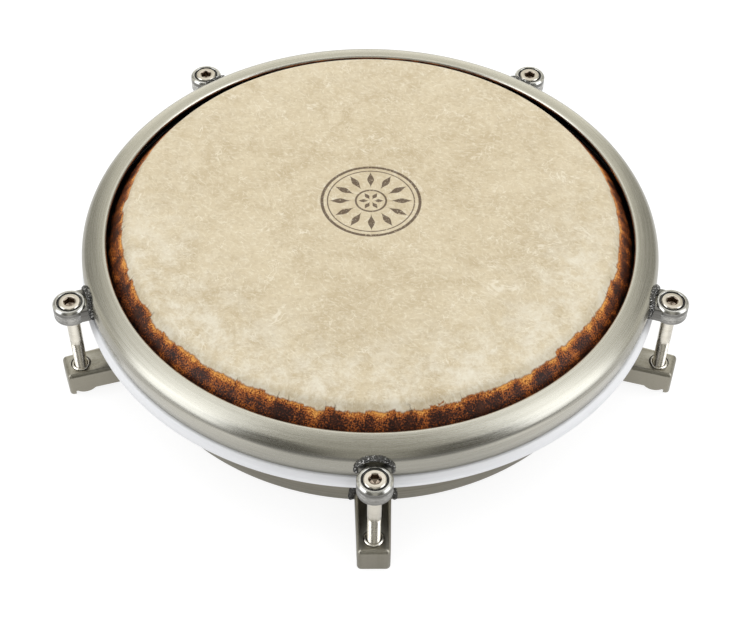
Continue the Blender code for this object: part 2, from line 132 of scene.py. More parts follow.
def waves(seed, counts, angle):
    """A sum of sines round a ring, each with its own count of waves and a fixed phase, within -1 to 1."""
    phases = np.random.default_rng(seed).uniform(0, math.tau, len(counts))
    total = sum(np.sin(count * angle + phase) for count, phase in zip(counts, phases))
    return total / len(counts)


def round_axis(radius, height, angle):
    """Points about the Z axis: x = r cos a, y = r sin a, z = height."""
    return np.stack([radius * np.cos(angle), radius * np.sin(angle), height + 0 * angle], -1)


def patch(points, across, edge, shade=0, wrap=(True, True)):
    """One grid of points with the values that its material reads."""
    shape = points.shape[:2]
    values = {"across": np.broadcast_to(across, shape), "edge": np.broadcast_to(edge, shape),
              "shade": np.broadcast_to(shade, shape)}
    return points, values, wrap


def build(name, patches, material):
    """Make one mesh of some grids: their quads are joined where points meet, and face outwards."""
    points, quads, values, start = [], [], {"across": [], "edge": [], "shade": []}, 0
    for grid, marks, wrap in patches:
        rows, columns = grid.shape[:2]
        index = np.arange(rows * columns).reshape(rows, columns) + start
        if wrap[0]:
            index = np.vstack([index, index[:1]])
        if wrap[1]:
            index = np.hstack([index, index[:, :1]])
        corners = [index[:-1, :-1], index[1:, :-1], index[1:, 1:], index[:-1, 1:]]
        quads.append(np.stack(corners, -1).reshape(-1, 4))
        points.append(grid.reshape(-1, 3))
        for key, value in marks.items():
            values[key].append(value.reshape(-1))
        start += rows * columns
    points, quads = np.concatenate(points), np.concatenate(quads).astype(np.int32)
    mesh = bpy.data.meshes.new(name)
    mesh.vertices.add(len(points))
    mesh.vertices.foreach_set("co", points.astype(np.float32).ravel())
    mesh.loops.add(quads.size)
    mesh.loops.foreach_set("vertex_index", quads.ravel())
    mesh.polygons.add(len(quads))
    mesh.polygons.foreach_set("loop_start", np.arange(0, quads.size, 4, dtype=np.int32))
    mesh.update(calc_edges=True)
    for key, value in values.items():
        marks = mesh.attributes.new(key, "FLOAT", "POINT")
        marks.data.foreach_set("value", np.concatenate(value).astype(np.float32))
    bm = bmesh.new()
    bm.from_mesh(mesh)
    bmesh.ops.remove_doubles(bm, verts=bm.verts, dist=JOIN_GAP)
    bmesh.ops.recalc_face_normals(bm, faces=bm.faces)
    bm.to_mesh(mesh)
    bm.free()
    mesh.shade_smooth()
    mesh.set_sharp_from_angle(angle=CREASE_ANGLE)
    mesh.materials.append(material)
    thing = bpy.data.objects.new(name, mesh)
    bpy.context.scene.collection.objects.link(thing)
    return thing


def turned(section, steps, shade=0):
    """A closed section of (radius, height) points carried round the Z axis."""
    angle = np.linspace(0, math.tau, steps, endpoint=False)[:, None]
    points = round_axis(section[:, 0], section[:, 1], angle)
    return patch(points, length_along(section), sharpness(section), shade)


def at_lug(patches, lug):
    """The patches turned to one lug and moved out to its screw's axis."""
    angle = math.radians(-90 + 360 / LUGS * lug)
    cos, sin = math.cos(angle), math.sin(angle)
    turn = np.array([[cos, sin, 0], [-sin, cos, 0], [0, 0, 1]])
    place = np.array([SCREW_CIRCLE * cos, SCREW_CIRCLE * sin, 0])
    return [(grid @ turn + place, marks, wrap) for grid, marks, wrap in patches]


# Rings

def collar_slope():
    """The collar's lean from upright, as the tangent from the skin's bend to the hoop's channel."""
    run, drop = COLLAR_END - BEARING[0], BEARING[1] - SKIN_END - SKIN_TAIL
    return math.acos(SKIN_BEND / math.hypot(run, drop)) - math.atan2(drop, run)


def shell_section():
    """A sheet rolled over the bearing edge, down a cone, and down a plain wall, with round edges."""
    slope, soft_bend, foot = collar_slope(), 0.012, (SHELL_RADIUS, SHELL_BASE + 0.0006)
    roll = arc(BEARING, BEARING_BEND, math.radians(205), slope, 24)
    cone_end = roll[-1, 1] - (SHELL_RADIUS - roll[-1, 0]) / math.tan(slope)
    soft = arc((SHELL_RADIUS - soft_bend, cone_end - soft_bend * math.tan(slope / 2)), soft_bend, slope, 0, 6)
    wall = straight((SHELL_RADIUS, soft[-1, 1]), foot, 12)
    face = np.vstack([roll, straight(roll[-1], soft[0], 4), soft, wall, [foot]])
    back = moved_aside(face, SHELL_WALL)
    return np.vstack([face, round_edge(face[-1], back[-1]), back[::-1], round_edge(back[0], face[0])])


def rim_face():
    """The rim's outer face, as three arcs that meet smoothly: a crowned top, a bend, and a long skirt."""
    lip = RIM_MOUTH + RIM_SHEET / 2
    first, last = math.pi / 2 - RIM_LIP_SLOPE, math.pi / 2 - RIM_EDGE_SLOPE
    reach = RIM_RADIUS - RIM_BEND + RIM_BEND * math.cos(last) - lip
    crown = reach / (math.cos(last) - math.cos(first))
    top = arc((lip - crown * math.cos(first), RIM_TOP - crown * math.sin(first)), crown, first, last, 10)
    bend = (RIM_RADIUS - RIM_BEND, top[-1, 1] - RIM_BEND * math.sin(last))
    drop = bend[1] - RIM_BASE - RIM_FOOT
    turn = 2 * math.atan(RIM_TUCK / drop)
    skirt = drop / math.sin(turn)
    over = arc(bend, RIM_BEND, last, 0, 16)
    down = arc((RIM_RADIUS - skirt, bend[1]), skirt, 0, -turn, 10)
    return np.vstack([top, over[1:], down[1:]])


def rim_section(face):
    """The rim's closed section: its face, a foot with small round corners, its back, and a round lip."""
    back = moved_aside(face, RIM_SHEET)
    height = RIM_BASE + RIM_FOOT
    foot = np.vstack([arc((face[-1, 0] - RIM_FOOT, height), RIM_FOOT, 0, -math.pi / 2, 4),
                      arc((back[-1, 0] + RIM_FOOT, height), RIM_FOOT, -math.pi / 2, -math.pi, 4)])
    back[-1, 1] = height + 0.0002
    return np.vstack([face[:-1], foot, back[::-1], round_edge(back[0], face[0])])


def rim_reach(height):
    """The rim's outer radius at a height, read along its face from top to bottom."""
    face = rim_face()[::-1]
    return np.interp(height, face[:, 1], face[:, 0])


def hoop_section():
    """A flange under the rim's skirt with a bevelled shoulder, and a channel for the skin's end."""
    wall, far = CHANNEL_WALL, COLLAR_END + 0.0003
    near, floor, brim = far - CHANNEL_WIDTH, HOOP_BASE + CHANNEL_FLOOR, HOOP_TOP + CHANNEL_RISE - wall / 2
    top = np.array([(HOOP_RADIUS - 0.0024, HOOP_TOP), (HOOP_RADIUS - 0.0021, HOOP_TOP - 0.0002),
                    (HOOP_RADIUS - 0.0002, HOOP_TOP - 0.0034), (HOOP_RADIUS, HOOP_TOP - 0.0042)])
    foot = arc((HOOP_RADIUS - 0.0005, HOOP_BASE + 0.0005), 0.0005, 0, -math.pi / 2, 4)
    inner = arc((near - wall / 2, brim), wall / 2, math.pi, 0, 6)
    outer = arc((far + wall / 2, brim), wall / 2, math.pi, 0, 6)
    return np.vstack([top, foot, [(near - wall, HOOP_BASE)], inner, [(near, floor), (far, floor)], outer,
                      [(far + wall, HOOP_TOP)]])


def drum_head():
    """The skin: a disc z = top + crown (1 - (r / flat)^2), a bend over the bearing edge, and a collar.

    Each point moves out along its section's normal by fine waves round the ring, which grow down the collar.
    """
    slope, flat, rings = collar_slope(), BEARING[0], 25
    pleat_depth, slack_depth = 0.00022, 0.00008
    radius = np.linspace(0, flat, rings + 1)[:-1]
    crown = np.stack([radius, HEAD_TOP + HEAD_CROWN * (1 - (radius / flat) ** 2)], 1)
    bend = arc(BEARING, SKIN_BEND, math.pi / 2, slope, 14)
    tail, end = (COLLAR_END, SKIN_END + SKIN_TAIL), (COLLAR_END, SKIN_END)
    face = np.vstack([crown, bend, straight(bend[-1], tail, 36), [tail], straight(tail, end, 3), [end]])
    back = moved_aside(face, SKIN)
    back[0, 0] = 0
    section = np.vstack([face, back[::-1]])
    along = length_along(face)
    down = np.concatenate([along, along[::-1]]) - along[rings]
    run = np.gradient(face, axis=0)
    run /= np.linalg.norm(run, axis=1, keepdims=True)
    normal = np.stack([-run[:, 1], run[:, 0]], 1)
    normal = np.vstack([normal, normal[::-1]])
    angle = np.linspace(0, math.tau, 600, endpoint=False)[:, None]
    pleats = waves(3, (41, 67, 89, 113), angle) * np.clip(down / 0.03, 0, 1) ** 1.5 * pleat_depth
    slack = waves(5, (3, 7, 11, 19), angle + down * 30) * np.clip(down / 0.01, 0, 1) * slack_depth
    pleats *= np.clip((section[:, 1] - SKIN_END) / 0.004, 0, 1)
    shift = pleats + slack
    points = round_axis(section[:, 0] + shift * normal[:, 0], section[:, 1] + shift * normal[:, 1], angle)
    return [patch(points, down, 0, np.clip(down, -1, 1))]


# Pieces of a lug

def ear():
    """The screw's ear: a closed section turned round the screw's axis, as rows of (radius, height, shade).

    It has two fine grooves round its side, a polished chamfer and a counterbore. Its neck is a rectangle,
    shrunk about its middle at the top and the bottom, that runs into the rim.
    """
    out, low, high, chamfer, seat = EYE_RADIUS, EYE_BASE, EYE_TOP, 0.0012, CUP_SEAT - 0.0003
    bevel = high - chamfer
    section = np.array([
        (BORE, low, 0), (out - 0.0004, low, 0), (out - 0.0001, low + 0.0001, 0), (out, low + 0.0004, 0),
        (out, low + 0.0030, 0), (out - 0.0001, low + 0.0031, 0), (out, low + 0.0032, 0.15),
        (out, low + 0.0058, 0.15), (out - 0.0001, low + 0.0059, 0), (out, low + 0.0060, 0),
        (out, high - 0.003, 0), (out, bevel - 0.00015, 0), (out - 0.0001, bevel + 0.0001, 1),
        (out - chamfer * 0.5, high - chamfer * 0.42, 1), (out - chamfer + 0.0001, high - 0.0001, 1),
        (out - chamfer - 0.0001, high, 0.3), (COUNTERBORE + 0.0002, high, 0.3),
        (COUNTERBORE, high - 0.0002, 1), (COUNTERBORE, seat, 0), (BORE, seat, 0)])
    flank, rear, front, top = EYE_RADIUS - 0.001, -0.0128, -0.004, EYE_TOP - 0.0011
    corners = [(front, -flank), (front, flank), (rear, flank), (rear, -flank)]
    sides = zip(corners, corners[1:] + corners[:1])
    loop = np.vstack([np.vstack([[here], straight(here, there, 8)]) for here, there in sides])
    middle = np.array([((front + rear) / 2, 0)])
    levels = ((0, low), (0.97, low), (1, low + 0.0004), (1, top - 0.0008), (0.97, top - 0.0002), (0.9, top),
              (0, top))
    rows = [np.column_stack([middle + (loop - middle) * share, np.full(len(loop), z)]) for share, z in levels]
    neck = np.stack(rows, 1)
    return [turned(section[:, :2], 96, section[:, 2]), patch(neck, neck[..., 2], 0, 0, (True, False))]


def bead(path, radius, seed):
    """A weld bead: a tube along a path with ripples and lumps, run out to a point at each end."""
    ripple_pitch, away = 0.0015, np.array([[1.0, 0, 0]])
    distance = length_along(path)[:, None]
    run = np.gradient(path, axis=0)
    run /= np.linalg.norm(run, axis=1, keepdims=True)
    out = away - (away * run).sum(1, keepdims=True) * run
    out /= np.linalg.norm(out, axis=1, keepdims=True)
    other = np.cross(run, out)
    turn = np.linspace(0, math.tau, 28, endpoint=False)[None, :]
    taper = np.sqrt(np.clip(1 - (2 * np.linspace(0, 1, len(path)) - 1) ** 16, 0, 1))[:, None]
    ripple = np.abs(np.sin(math.pi * distance / ripple_pitch))
    lumps = waves(seed, (3, 5, 8), distance * 900 + 0 * turn)
    lumps = lumps + waves(seed + 1, (1, 2, 3), turn + distance * 700)
    size = radius * taper * (0.9 + 0.14 * ripple + 0.09 * lumps)
    spoke = np.cos(turn)[..., None] * out[:, None] + np.sin(turn)[..., None] * other[:, None]
    points = path[:, None] + size[..., None] * spoke
    return [patch(points, distance + 0 * turn, ripple + 0 * turn, 0, (False, True))]


def hairpin(half, low, high, corner, steps):
    """Points up one side, round a corner, across the top, and down the other side, at even steps."""
    left = arc((-half + corner, high - corner), corner, math.pi, math.pi / 2, 8)
    right = arc((half - corner, high - corner), corner, math.pi / 2, 0, 8)
    rough = np.vstack([[(-half, low)], left, right, [(half, low)]])
    along = length_along(rough)
    even = np.linspace(0, along[-1], steps)
    return np.stack([np.interp(even, along, rough[:, 0]), np.interp(even, along, rough[:, 1])], 1)


def ear_weld():
    """The bead over the ear's neck: its path lies on the rim's outer face."""
    line = hairpin(0.0098, 0.0630, 0.0748, 0.0080, 170)
    x = np.sqrt(rim_reach(line[:, 1]) ** 2 - line[:, 0] ** 2) - SCREW_CIRCLE + 0.0004
    return bead(np.column_stack([x, line]), 0.0018, 11)


def arm_bead():
    """The bead over the arm's root: its path lies on the shell's wall, and spreads towards the lower edge."""
    low, high, spread = 0.0070, 0.0172, 0.14
    line = hairpin(0.0116, low, high, 0.0026, 150)
    line[:, 0] *= 1 + spread * ((high - line[:, 1]) / (high - low)) ** 2
    x = np.sqrt(SHELL_RADIUS ** 2 - line[:, 0] ** 2) - SCREW_CIRCLE + 0.0007
    return bead(np.column_stack([x, line]), 0.0021, 17)


def head_cup():
    """The plastic cup under the screw's head, a turned section with a rounded lip."""
    inner, floor = CUP_RADIUS - CUP_WALL, CUP_SEAT + 0.0007
    lip = [(inner, CUP_TOP - 0.0002), (inner + 0.0001, CUP_TOP), (CUP_RADIUS - 0.0001, CUP_TOP),
           (CUP_RADIUS, CUP_TOP - 0.0002)]
    base = [(CUP_RADIUS, CUP_SEAT), (BORE, CUP_SEAT), (BORE, floor), (inner, floor)]
    return [turned(np.array(lip + base), 72)]


def tuning_screw():
    """A socket-head screw as rings of points round its axis, from the socket's floor to the tip.

    Each row of the head is (radius, height, share of the hexagon, shade, edge). The socket's rings are a
    hexagon, radius = half width / cos(angle from the flat's middle), eased into a circle at the mouth. In
    the thread, radius = mean + depth times a triangle wave of z / pitch - angle / turn.
    """
    angle = np.linspace(0, math.tau, 72, endpoint=False)[:, None]
    socket_half, mean, depth, core = 0.003, 0.00355, 0.0003, 0.0002
    hexagon = socket_half / np.cos((angle + math.pi / 6) % (math.pi / 3) - math.pi / 6)
    # worn is painted shade on the head's top: those rows mix 0.44 toward the plate's dark colour. A shade of 1
    # paints the socket's inside dark as painted shade, and the thread mixes 0.12 toward it.
    top, tip, seat, out, worn = SCREW_TOP, SCREW_TIP, SCREW_SEAT, SCREW_HEAD, 0.44
    radius, height, share, shade, edge = np.array([
        (0, top - 0.0052, 0, 1, 0), (0.0012, top - 0.0046, 0.1, 1, 0), (0, top - 0.0040, 0.97, 1, 0),
        (0, top - 0.0038, 1, 1, 0), (0, top - 0.0020, 1, 1, 0), (0, top - 0.0004, 1, 1, 0),
        (0.0037, top - 0.0001, 0.25, 1, 0.6), (0.0039, top, 0, worn, 1), (0.0045, top, 0, worn, 0.4),
        (0.0058, top, 0, worn, 0.3), (0.0060, top - 0.00004, 0, worn, 1),
        (out - 0.00004, top - 0.00046, 0, 0, 1), (out, top - 0.0006, 0, 0, 0.4),
        (out, seat + 0.0003, 0, 0, 0), (out - 0.0003, seat, 0, 0, 0), (SHANK + 0.0004, seat, 0, 0, 0),
        (SHANK, seat - 0.0004, 0, 0, 0), (SHANK, 0.055, 0, 0, 0), (SHANK, 0.045, 0, 0, 0),
        (SHANK, THREAD_TOP + 0.0006, 0, 0, 0), (SHANK - 0.0001, THREAD_TOP + 0.0004, 0, 0, 0)]).T
    z = np.arange(THREAD_TOP, tip + 0.0008, -THREAD_PITCH / 12)
    saw = 2 * np.abs(((z / THREAD_PITCH - angle / math.tau) % 1) * 2 - 1) - 1
    fade = np.clip((THREAD_TOP - z) / 0.0012, 0, 1) * np.clip((z - tip) / 0.0022, 0, 1)
    thread = mean + depth * np.clip(saw * 1.25, -1, 1) * fade - core * (1 - fade)
    end = np.array([(0.0030, tip + 0.0003), (0.0027, tip), (0.0015, tip), (0, tip)])
    radius = np.hstack([(1 - share) * radius + share * hexagon, thread, end[:, 0] + 0 * angle])
    points = round_axis(radius, np.concatenate([height, z, end[:, 1]]), angle)
    shade = np.concatenate([shade, np.full(len(z), 0.12), np.zeros(len(end))])
    edge = np.hstack([edge + 0 * angle, np.clip(saw, 0, 1), 0 * end[:, 0] + 0 * angle])
    return [patch(points, points[..., 2], edge, shade, (True, False))]


def arm_loop(inset=0.0, root_wall=0.0, end_wall=0.0):
    """The arm seen from above, moved in by an inset all round and by a wall at its root and at its end.

    Its points run out along one side, round the end's two corners, back along the other side and over the
    root. The sides flare evenly towards the root, and their points lie closest at the nut's lobe and the foot.
    """
    sunk, least_corner = 0.0012, 0.0003
    half, root_half = ARM_HALF - inset, ARM_ROOT_HALF - inset
    end, corner = ARM_END - inset - end_wall, max(ARM_EDGE - inset, least_corner)
    far = end - corner
    by_root, by_lobe = np.linspace(ARM_ROOT, -0.0066, 14), np.linspace(-0.0056, 0.0056, 25)
    by_foot = [0.0060, 0.00655, 0.00662]
    x = np.minimum(np.concatenate([by_root, by_lobe, by_foot]), far)
    x[0] = ARM_ROOT - sunk + root_wall
    left = np.stack([x, -half - (root_half - half) * (end - x) / ARM_LENGTH], 1)
    wide = half + (root_half - half) * corner / ARM_LENGTH
    first = arc((far, -wide + corner), corner, -math.pi / 2, 0, 6)
    last = arc((far, wide - corner), corner, 0, math.pi / 2, 6)
    right = left[::-1] * (1, -1)
    return np.vstack([left, first, straight(first[-1], last[0], 10), last, right,
                      straight(right[-1], left[0], 14)])


def side_arm():
    """The arm: a closed section carried round its outline, from the hole over the top and back inside.

    Each ring of the section is the outline at its own width, length and corner radius. The top edge is a
    quarter circle, and the lower edge follows z = axis - root(r^2 - x^2) round the nut, with a flat foot.
    Towards the root each ring bends to the shell's round wall.
    """
    foot_start, bend_start, bend_length = 0.00658, -0.025, 0.009
    x = arm_loop()[:, 0]
    lobe = np.where(np.abs(x) < NUT_AXIS, NUT_AXIS - np.sqrt(np.maximum(NUT_AXIS ** 2 - x ** 2, 0)), 1)
    low = np.minimum(lobe, ARM_SIDE_BASE)
    low[x > foot_start] = 0
    first = arm_loop(ARM_EDGE)
    way = np.arctan2(first[:, 1], first[:, 0])
    circle = np.stack([np.cos(way), np.sin(way)], 1)
    rows, edges, shades = [], [], []

    def add(outline, z, edge, shade):
        rows.append(np.column_stack([outline, z + np.zeros(len(outline))]))
        edges.append(edge)
        shades.append(shade)

    def ring(z, edge, shade, *walls):
        outline = arm_loop(*walls)
        arch = np.sqrt(SHELL_RADIUS ** 2 - outline[:, 1] ** 2) - SHELL_RADIUS
        outline[:, 0] += arch * np.clip((bend_start - outline[:, 0]) / bend_length, 0, 1)
        add(outline, z, edge, shade)

    # The hole's rows: shade darkens down the hole as painted shade, and edge brightens its rim as edge wear
    # with a painted highlight.
    add(circle * ARM_HOLE, ARM_TOP - 0.0003, 0.6, 1)
    add(circle * (ARM_HOLE + 0.00008), ARM_TOP - 0.00008, 1, 0.5)
    add(circle * (ARM_HOLE + 0.0003), ARM_TOP, 0.6, 0)
    # Along the rounded top edge, the edge value peaks halfway round: edge wear with a painted highlight line.
    for degrees in np.linspace(90, 0, 8):
        inset = ARM_EDGE * (1 - math.cos(math.radians(degrees)))
        worn = 0.2 + 0.3 * math.sin(math.pi * inset / ARM_EDGE)
        ring(ARM_TOP - ARM_EDGE * (1 - math.sin(math.radians(degrees))), worn, 0, inset)
    ring(ARM_TOP - ARM_EDGE - 0.0006, 0.1, 0)
    ring(low + 0.0005, 0.1, 0)
    ring(low + 0.0001, 0.9, 0, 0.0001)
    ring(low, 0.5, 0, 0.0004)
    # Painted shade: the underside's inner rings and the ceiling's hole take the plate's dark colour inside the
    # arm's pocket.
    ring(low, 0.4, 0.6, 0.0028, 0.0002, 0.0005)
    ring(low + 0.0003, 0.2, 1, 0.0031, 0.0003, 0.0005)
    ring(ARM_CEILING - 0.0004, 0, 1, 0.0031, 0.0003, 0.0005)
    ring(ARM_CEILING, 0, 1, 0.0034, 0.0004, 0.0005)
    add(circle * ARM_HOLE, ARM_CEILING, 0, 1)
    points = np.stack(rows, 1)
    return [patch(points, points[..., 1], edges, shades)]


def barrel_nut():
    """The nut as rings round the screw's axis: a chamfered neck, and a barrel z = axis +- root(r^2 - x^2)."""
    steps = 96
    angle = np.linspace(0, math.tau, steps, endpoint=False) + math.tau / (2 * steps)
    cos, sin = np.cos(angle), np.sin(angle)
    reach = np.minimum(NUT_RADIUS / np.abs(cos), NUT_HALF / np.abs(sin))
    neck = ((BORE, NUT_AXIS), (BORE, NUT_TOP - 0.0004), (BORE + 0.0002, NUT_TOP - 0.0001),
            (BORE + 0.0003, NUT_TOP), (NUT_NECK - 0.0007, NUT_TOP), (NUT_NECK, NUT_TOP - 0.0004))
    rows = [round_axis(radius, z, angle) for radius, z in neck]
    shares = np.linspace(0, 1, 6)
    for side, inner, way in ((1, NUT_NECK, shares), (-1, BORE, shares[::-1])):
        for share in way:
            radius = inner + (reach - inner) * share
            x = np.clip(radius * cos, -NUT_RADIUS, NUT_RADIUS)
            rows.append(np.stack([x, radius * sin, NUT_AXIS + side * np.sqrt(NUT_RADIUS ** 2 - x ** 2)], 1))
    points = np.stack(rows, 1)
    edge = [0, 0, 1, 1, 1, 1] + [0] * 12
    # Painted shade: the bore and the barrel inside the arm are mixed toward the plate's dark colour.
    shade = [1, 0.6, 0, 0, 0, 0] + [0.5] * 12
    return [patch(points, points[..., 2], edge, shade)]


# Materials

class Sheet:
    """Adds nodes to one node tree. A value may be a number, a tuple, or another node's output."""

    def __init__(self, tree):
        self.tree = tree

    def node(self, kind, feeds=(), **settings):
        made = self.tree.nodes.new("ShaderNode" + kind)
        for key, value in settings.items():
            setattr(made, key, value)
        for key, value in dict(feeds).items():
            self.feed(made.inputs[key], value)
        return made

    def feed(self, socket, value):
        """Link an output to a socket, or set the socket's own value. A colour is red, green and blue."""
        if isinstance(value, bpy.types.NodeSocket):
            self.tree.links.new(value, socket)
        else:
            socket.default_value = (*value, 1) if socket.type == "RGBA" else value

    def calc(self, operation, *values, clamp=False):
        return self.node("Math", dict(enumerate(values)), operation=operation, use_clamp=clamp).outputs[0]

    def chain(self, operation, values):
        """The operation on the first two values, then on that and the third one, and so on."""
        total = values[0]
        for value in values[1:]:
            total = self.calc(operation, total, value)
        return total

    def times(self, *values):
        return self.chain("MULTIPLY", values)

    def plus(self, *values):
        return self.chain("ADD", values)

    def most(self, *values):
        return self.chain("MAXIMUM", values)

    def minus(self, value, less):
        return self.calc("SUBTRACT", value, less)

    def swing(self, value, amount):
        """A noise moved down to swing about zero, times an amount."""
        return self.times(self.minus(value, 0.5), amount)

    def distance(self, x, y):
        return self.calc("SQRT", self.plus(self.times(x, x), self.times(y, y)))

    def ramp(self, value, low, high, to_low=0.0, to_high=1.0, kind="LINEAR"):
        """Lead a value evenly from to_low at low to to_high at high."""
        ends = {"Value": value, "From Min": low, "From Max": high, "To Min": to_low, "To Max": to_high}
        return self.node("MapRange", ends, interpolation_type=kind).outputs[0]

    def step(self, value, low, high, to_low=0.0, to_high=1.0):
        """Ease a value from to_low at low to to_high at high."""
        return self.ramp(value, low, high, to_low, to_high, "SMOOTHSTEP")

    def mix(self, share, first, second):
        return self.node("Mix", {0: share, 6: first, 7: second}, data_type="RGBA").outputs[2]

    def noise(self, vector, scale, detail=2.0, roughness=0.5, distortion=0.0, out=0):
        """A noise's value, or its colour where out is 1."""
        feeds = {"Vector": vector, "Scale": scale, "Detail": detail, "Roughness": roughness,
                 "Distortion": distortion}
        return self.node("TexNoise", feeds).outputs[out]

    def vector(self, operation, *values, out=0):
        """A sum of vectors. A length or a dot product is the node's second output."""
        return self.node("VectorMath", dict(enumerate(values)), operation=operation).outputs[out]

    def stretch(self, vector, x, y, z):
        """The vector with each of its three parts multiplied."""
        return self.vector("MULTIPLY", vector, (x, y, z))

    def parts(self, vector):
        return self.node("SeparateXYZ", {0: vector}).outputs

    def joined(self, x, y, z):
        return self.node("CombineXYZ", {0: x, 1: y, 2: z}).outputs[0]

    def value(self, name):
        """A value that the mesh carries at each of its points."""
        return self.node("Attribute", attribute_name=name).outputs["Fac"]

    def effect(self, name, **feeds):
        made = self.node("Group", node_tree=bpy.data.node_groups[name])
        for key, value in feeds.items():
            self.feed(made.inputs[key.replace("_", " ")], value)
        return made.outputs


def start_effect(name, inputs, outputs):
    """An empty node group for a position and named numbers. Returns its sheet, inputs and output sockets."""
    tree = bpy.data.node_groups.new(name, "ShaderNodeTree")
    tree.interface.new_socket("Position", in_out="INPUT", socket_type="NodeSocketVector")
    for title, default in inputs.items():
        made = tree.interface.new_socket(title, in_out="INPUT", socket_type="NodeSocketFloat")
        made.default_value = default
    for title in outputs:
        tree.interface.new_socket(title, in_out="OUTPUT", socket_type="NodeSocketFloat")
    sheet = Sheet(tree)
    given = tree.nodes.new("NodeGroupInput").outputs
    return sheet, given, tree.nodes.new("NodeGroupOutput").inputs


def make_effects():
    """Brushed lines, grain, edge wear, dust and the printed rosette, each as one node group."""
    sheet, given, out = start_effect("brushed lines", {"Across": 0.0, "Lines per metre": 4000.0},
                                     ("Lines", "Bands"))
    x, y, _ = sheet.parts(given["Position"])
    spread = sheet.times(given["Across"], given["Lines per metre"])
    fine = sheet.joined(spread, sheet.times(x, 26.0), sheet.times(y, 26.0))
    sheet.feed(out["Lines"], sheet.step(sheet.noise(fine, 1.0, 3.0, 0.6), 0.3, 0.7))
    wide = sheet.joined(sheet.times(spread, 0.12), sheet.times(x, 9.0), sheet.times(y, 9.0))
    sheet.feed(out["Bands"], sheet.step(sheet.noise(wide, 1.0, 2.0, 0.5), 0.3, 0.7))

    sheet, given, out = start_effect("grain", {"Grains per metre": 2500.0}, ("Grain", "Patches"))
    fine = sheet.noise(given["Position"], given["Grains per metre"], 2.0, 0.6)
    sheet.feed(out["Grain"], sheet.step(fine, 0.35, 0.65))
    broad = sheet.noise(given["Position"], sheet.times(given["Grains per metre"], 0.05), 4.0, 0.6, 0.4)
    sheet.feed(out["Patches"], sheet.step(broad, 0.35, 0.65))

    sheet, given, out = start_effect("edge wear", {"Edge": 0.0, "Amount": 1.0}, ("Wear",))
    rough = sheet.noise(given["Position"], 900.0, 3.0, 0.6)
    worn = sheet.times(given["Edge"], sheet.step(rough, 0.2, 0.6))
    sheet.feed(out["Wear"], sheet.calc("MULTIPLY", worn, given["Amount"], clamp=True))

    sheet, given, out = start_effect("dust", {"Amount": 0.1}, ("Dust",))
    specks = sheet.step(sheet.noise(given["Position"], 1800.0, 1.0, 0.5), 0.62, 0.72)
    film = sheet.step(sheet.noise(given["Position"], 35.0, 4.0, 0.6), 0.4, 0.7)
    both = sheet.plus(sheet.times(specks, 0.6), sheet.times(film, 0.4))
    sheet.feed(out["Dust"], sheet.calc("MULTIPLY", both, given["Amount"], clamp=True))

    sheet, given, out = start_effect("rosette", {"Radius": 0.031}, ("Ink",))
    centre = (0, 0.009, 0)
    x, y, _ = sheet.parts(sheet.vector("SUBTRACT", given["Position"], centre))
    reach = sheet.calc("DIVIDE", sheet.distance(x, y), given["Radius"])
    turn = sheet.calc("ARCTAN2", y, x)

    def band(middle, half):
        return sheet.step(sheet.calc("ABSOLUTE", sheet.minus(reach, middle)), half + 0.008, half - 0.008)

    def petals(count, start, end, width):
        wave = sheet.calc("ABSOLUTE", sheet.calc("SINE", sheet.times(turn, count / 2)))
        swell = sheet.calc("SINE", sheet.step(reach, start, end, 0.0, math.pi))
        inside = sheet.times(sheet.step(reach, start - 0.001, start + 0.001),
                             sheet.step(reach, end + 0.001, end - 0.001))
        edge = sheet.minus(sheet.times(swell, width), wave)
        return sheet.times(inside, sheet.step(edge, -0.03, 0.03))

    ink = sheet.most(band(0.97, 0.03), band(0.86, 0.012), band(0.30, 0.02), petals(12, 0.36, 0.84, 0.62),
                     petals(6, 0.02, 0.26, 0.8))
    worn = sheet.step(sheet.noise(given["Position"], 700.0, 4.0, 0.7), 0.3, 0.45)
    sheet.feed(out["Ink"], sheet.times(ink, worn))


def start_material(name, **constants):
    """A material with one Principled shader, whose plain values are set on its own sockets."""
    material = bpy.data.materials.new(name)
    material.use_nodes = True
    shader = material.node_tree.nodes["Principled BSDF"]
    for key, value in constants.items():
        shader.inputs[key.replace("_", " ")].default_value = value
    sheet = Sheet(material.node_tree)
    position = sheet.node("TexCoord").outputs["Object"]
    return material, sheet, shader, position


def finish(sheet, shader, colour, roughness, height, depth):
    """Lead the colour, roughness and relief to the shader."""
    bump = sheet.node("Bump", {"Strength": 1.0, "Distance": depth, "Height": height})
    sheet.feed(shader.inputs["Base Color"], colour)
    sheet.feed(shader.inputs["Roughness"], roughness)
    sheet.feed(shader.inputs["Normal"], bump.outputs[0])


